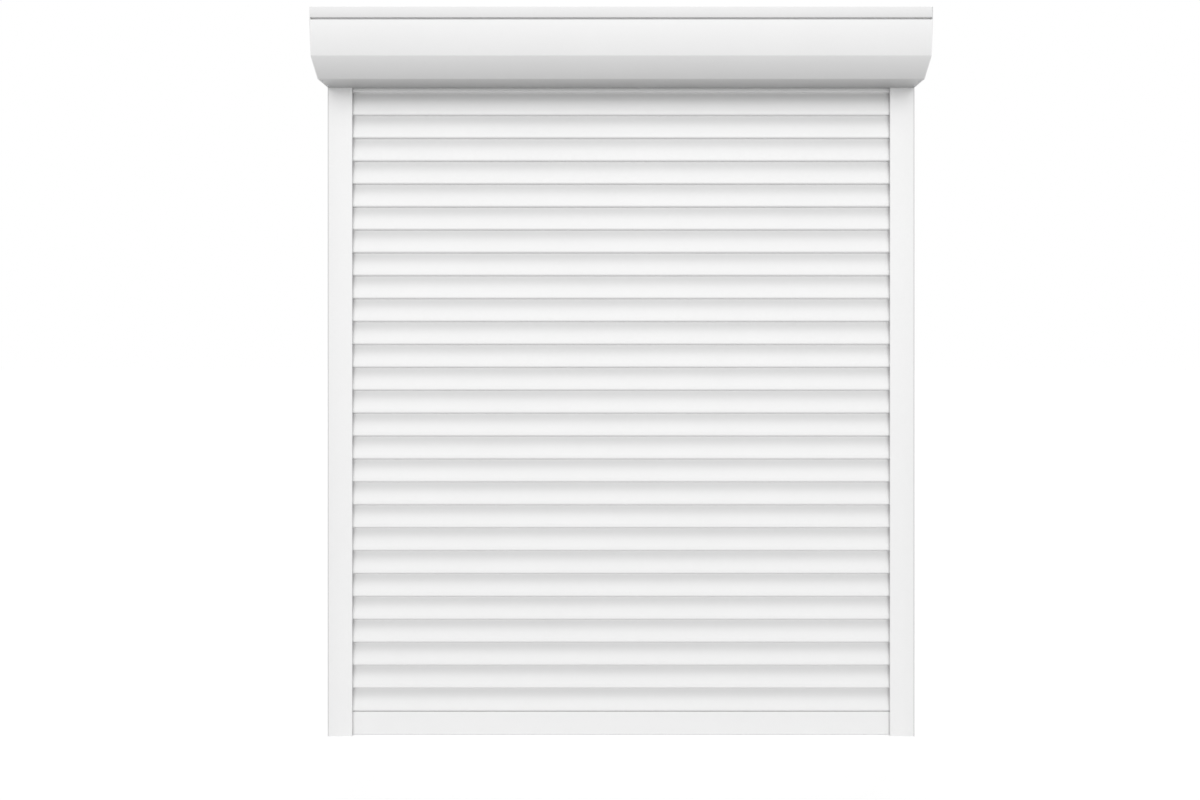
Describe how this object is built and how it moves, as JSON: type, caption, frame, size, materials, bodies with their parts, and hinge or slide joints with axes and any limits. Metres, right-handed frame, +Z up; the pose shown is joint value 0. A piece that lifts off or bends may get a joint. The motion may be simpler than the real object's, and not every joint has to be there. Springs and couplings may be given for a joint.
{
  "type": "exterior roller shutter",
  "caption": "Wall-mounted exterior roller shutter: bevelled box, two side guides, a curtain of hooked hollow slats and a bottom bar, lifted by a tube with a motor inside.",
  "frame": {"origin": "middle of the sill line, on the wall plane", "axes": "+X to the right seen from outside, +Y into the wall, +Z up"},
  "size_m": [1.9, 0.205, 2.3022],
  "materials": {
    "slat_coating": "white stove enamel",
    "profile_coating": "white powder coat",
    "panel_coating": "white coil coat",
    "cap_coating": "white powder coat",
    "seal_rubber": "matt extruded",
    "brush_pile": "dense pile",
    "white_plastic": "moulded",
    "black_plastic": "moulded",
    "galvanised_steel": "galvanised",
    "bright_steel": "zinc plated",
    "spring_steel": "blued",
    "motor_housing": "painted"
  },
  "bodies": {
    "frame": {"guide_left": "profile_coating", "guide_right": "profile_coating", "guide_cover_left": "profile_coating", "guide_cover_right": "profile_coating", "guide_brush_left": "brush_pile", "guide_brush_right": "brush_pile", "guide_foot_left": "white_plastic", "guide_foot_right": "white_plastic", "side_cap_left": "cap_coating", "side_cap_right": "cap_coating", "box_top_back_panel": "panel_coating", "box_front_panel": "panel_coating", "cable_gland": "seal_rubber", "inlet_funnel_left": "black_plastic", "inlet_funnel_right": "black_plastic", "bearing_bracket": "galvanised_steel", "bearing_outer_ring": "bright_steel", "motor_tube": "motor_housing", "motor_head": "black_plastic", "motor_bracket": "galvanised_steel", "motor_pin": "bright_steel", "fixing_screws": "bright_steel"},
    "bottom_bar": {"bottom_bar": "profile_coating", "bottom_seal": "seal_rubber", "bottom_bar_end_caps": "white_plastic"},
    "tube": {"winding_tube": "galvanised_steel", "idler_capsule": "black_plastic", "idler_pin": "bright_steel", "bearing_inner_ring": "bright_steel", "motor_crown": "black_plastic", "motor_drive_wheel": "black_plastic", "suspension_straps": "spring_steel"},
    "slat_01": {"slat_01": "slat_coating"},
    "slat_02": {"slat_02": "slat_coating"},
    "slat_03": {"slat_03": "slat_coating"},
    "slat_04": {"slat_04": "slat_coating"},
    "slat_05": {"slat_05": "slat_coating"},
    "slat_06": {"slat_06": "slat_coating"},
    "slat_07": {"slat_07": "slat_coating"},
    "slat_08": {"slat_08": "slat_coating"},
    "slat_09": {"slat_09": "slat_coating"},
    "slat_10": {"slat_10": "slat_coating"},
    "slat_11": {"slat_11": "slat_coating"},
    "slat_12": {"slat_12": "slat_coating"},
    "slat_13": {"slat_13": "slat_coating"},
    "slat_14": {"slat_14": "slat_coating"},
    "slat_15": {"slat_15": "slat_coating"},
    "slat_16": {"slat_16": "slat_coating"},
    "slat_17": {"slat_17": "slat_coating"},
    "slat_18": {"slat_18": "slat_coating"},
    "slat_19": {"slat_19": "slat_coating"},
    "slat_20": {"slat_20": "slat_coating"},
    "slat_21": {"slat_21": "slat_coating"},
    "slat_22": {"slat_22": "slat_coating"},
    "slat_23": {"slat_23": "slat_coating"},
    "slat_24": {"slat_24": "slat_coating"},
    "slat_25": {"slat_25": "slat_coating"},
    "slat_26": {"slat_26": "slat_coating"},
    "slat_27": {"slat_27": "slat_coating"},
    "slat_28": {"slat_28": "slat_coating"}
  },
  "joints": [
    {"name": "lift", "type": "slide", "parent": "frame", "child": "bottom_bar", "axis": [0, 0, 1], "range_m": [0, 2.024]},
    {"name": "tube_spin", "type": "hinge", "parent": "frame", "child": "tube", "pos_m": [0, -0.1025, 2.2], "axis": [1, 0, 0], "range_deg": [0, 1800], "deforming": ["suspension_straps"]},
    {"name": "slat_01_lift", "type": "slide", "parent": "frame", "child": "slat_01", "axis": [0, 0, 1], "range_m": [0, 2.024], "deforming": ["slat_01"]},
    {"name": "slat_02_lift", "type": "slide", "parent": "frame", "child": "slat_02", "axis": [0, 0, 1], "range_m": [0, 1.9535], "deforming": ["slat_02"]},
    {"name": "slat_03_lift", "type": "slide", "parent": "frame", "child": "slat_03", "axis": [0, 0, 1], "range_m": [0, 1.883], "deforming": ["slat_03"]},
    {"name": "slat_04_lift", "type": "slide", "parent": "frame", "child": "slat_04", "axis": [0, 0, 1], "range_m": [0, 1.8125], "deforming": ["slat_04"]},
    {"name": "slat_05_lift", "type": "slide", "parent": "frame", "child": "slat_05", "axis": [0, 0, 1], "range_m": [0, 1.742], "deforming": ["slat_05"]},
    {"name": "slat_06_lift", "type": "slide", "parent": "frame", "child": "slat_06", "axis": [0, 0, 1], "range_m": [0, 1.6715], "deforming": ["slat_06"]},
    {"name": "slat_07_lift", "type": "slide", "parent": "frame", "child": "slat_07", "axis": [0, 0, 1], "range_m": [0, 1.601], "deforming": ["slat_07"]},
    {"name": "slat_08_lift", "type": "slide", "parent": "frame", "child": "slat_08", "axis": [0, 0, 1], "range_m": [0, 1.5305], "deforming": ["slat_08"]},
    {"name": "slat_09_lift", "type": "slide", "parent": "frame", "child": "slat_09", "axis": [0, 0, 1], "range_m": [0, 1.46], "deforming": ["slat_09"]},
    {"name": "slat_10_lift", "type": "slide", "parent": "frame", "child": "slat_10", "axis": [0, 0, 1], "range_m": [0, 1.3895], "deforming": ["slat_10"]},
    {"name": "slat_11_lift", "type": "slide", "parent": "frame", "child": "slat_11", "axis": [0, 0, 1], "range_m": [0, 1.319], "deforming": ["slat_11"]},
    {"name": "slat_12_lift", "type": "slide", "parent": "frame", "child": "slat_12", "axis": [0, 0, 1], "range_m": [0, 1.2485], "deforming": ["slat_12"]},
    {"name": "slat_13_lift", "type": "slide", "parent": "frame", "child": "slat_13", "axis": [0, 0, 1], "range_m": [0, 1.178], "deforming": ["slat_13"]},
    {"name": "slat_14_lift", "type": "slide", "parent": "frame", "child": "slat_14", "axis": [0, 0, 1], "range_m": [0, 1.1075], "deforming": ["slat_14"]},
    {"name": "slat_15_lift", "type": "slide", "parent": "frame", "child": "slat_15", "axis": [0, 0, 1], "range_m": [0, 1.037], "deforming": ["slat_15"]},
    {"name": "slat_16_lift", "type": "slide", "parent": "frame", "child": "slat_16", "axis": [0, 0, 1], "range_m": [0, 0.9665], "deforming": ["slat_16"]},
    {"name": "slat_17_lift", "type": "slide", "parent": "frame", "child": "slat_17", "axis": [0, 0, 1], "range_m": [0, 0.896], "deforming": ["slat_17"]},
    {"name": "slat_18_lift", "type": "slide", "parent": "frame", "child": "slat_18", "axis": [0, 0, 1], "range_m": [0, 0.8255], "deforming": ["slat_18"]},
    {"name": "slat_19_lift", "type": "slide", "parent": "frame", "child": "slat_19", "axis": [0, 0, 1], "range_m": [0, 0.755], "deforming": ["slat_19"]},
    {"name": "slat_20_lift", "type": "slide", "parent": "frame", "child": "slat_20", "axis": [0, 0, 1], "range_m": [0, 0.6845], "deforming": ["slat_20"]},
    {"name": "slat_21_lift", "type": "slide", "parent": "frame", "child": "slat_21", "axis": [0, 0, 1], "range_m": [0, 0.614], "deforming": ["slat_21"]},
    {"name": "slat_22_lift", "type": "slide", "parent": "frame", "child": "slat_22", "axis": [0, 0, 1], "range_m": [0, 0.5435], "deforming": ["slat_22"]},
    {"name": "slat_23_lift", "type": "slide", "parent": "frame", "child": "slat_23", "axis": [0, 0, 1], "range_m": [0, 0.473], "deforming": ["slat_23"]},
    {"name": "slat_24_lift", "type": "slide", "parent": "frame", "child": "slat_24", "axis": [0, 0, 1], "range_m": [0, 0.4025], "deforming": ["slat_24"]},
    {"name": "slat_25_lift", "type": "slide", "parent": "frame", "child": "slat_25", "axis": [0, 0, 1], "range_m": [0, 0.332], "deforming": ["slat_25"]},
    {"name": "slat_26_lift", "type": "slide", "parent": "frame", "child": "slat_26", "axis": [0, 0, 1], "range_m": [0, 0.2615], "deforming": ["slat_26"]},
    {"name": "slat_27_lift", "type": "slide", "parent": "frame", "child": "slat_27", "axis": [0, 0, 1], "range_m": [0, 0.191], "deforming": ["slat_27"]},
    {"name": "slat_28_lift", "type": "slide", "parent": "frame", "child": "slat_28", "axis": [0, 0, 1], "range_m": [0, 0.1205], "deforming": ["slat_28"]}
  ],
  "couplings": [
    {"joint": "tube_spin", "follows": "lift", "rad_per_m": 15.522},
    {"joint": "slat_01_lift", "follows": "lift", "ratio": 1},
    {"joint": "slat_02_lift", "follows": "lift", "ratio": 0.96517},
    {"joint": "slat_03_lift", "follows": "lift", "ratio": 0.93034},
    {"joint": "slat_04_lift", "follows": "lift", "ratio": 0.8955},
    {"joint": "slat_05_lift", "follows": "lift", "ratio": 0.86067},
    {"joint": "slat_06_lift", "follows": "lift", "ratio": 0.82584},
    {"joint": "slat_07_lift", "follows": "lift", "ratio": 0.79101},
    {"joint": "slat_08_lift", "follows": "lift", "ratio": 0.75618},
    {"joint": "slat_09_lift", "follows": "lift", "ratio": 0.72134},
    {"joint": "slat_10_lift", "follows": "lift", "ratio": 0.68651},
    {"joint": "slat_11_lift", "follows": "lift", "ratio": 0.65168},
    {"joint": "slat_12_lift", "follows": "lift", "ratio": 0.61685},
    {"joint": "slat_13_lift", "follows": "lift", "ratio": 0.58202},
    {"joint": "slat_14_lift", "follows": "lift", "ratio": 0.54718},
    {"joint": "slat_15_lift", "follows": "lift", "ratio": 0.51235},
    {"joint": "slat_16_lift", "follows": "lift", "ratio": 0.47752},
    {"joint": "slat_17_lift", "follows": "lift", "ratio": 0.44269},
    {"joint": "slat_18_lift", "follows": "lift", "ratio": 0.40786},
    {"joint": "slat_19_lift", "follows": "lift", "ratio": 0.37302},
    {"joint": "slat_20_lift", "follows": "lift", "ratio": 0.33819},
    {"joint": "slat_21_lift", "follows": "lift", "ratio": 0.30336},
    {"joint": "slat_22_lift", "follows": "lift", "ratio": 0.26853},
    {"joint": "slat_23_lift", "follows": "lift", "ratio": 0.2337},
    {"joint": "slat_24_lift", "follows": "lift", "ratio": 0.19886},
    {"joint": "slat_25_lift", "follows": "lift", "ratio": 0.16403},
    {"joint": "slat_26_lift", "follows": "lift", "ratio": 0.1292},
    {"joint": "slat_27_lift", "follows": "lift", "ratio": 0.094368},
    {"joint": "slat_28_lift", "follows": "lift", "ratio": 0.059536}
  ]
}
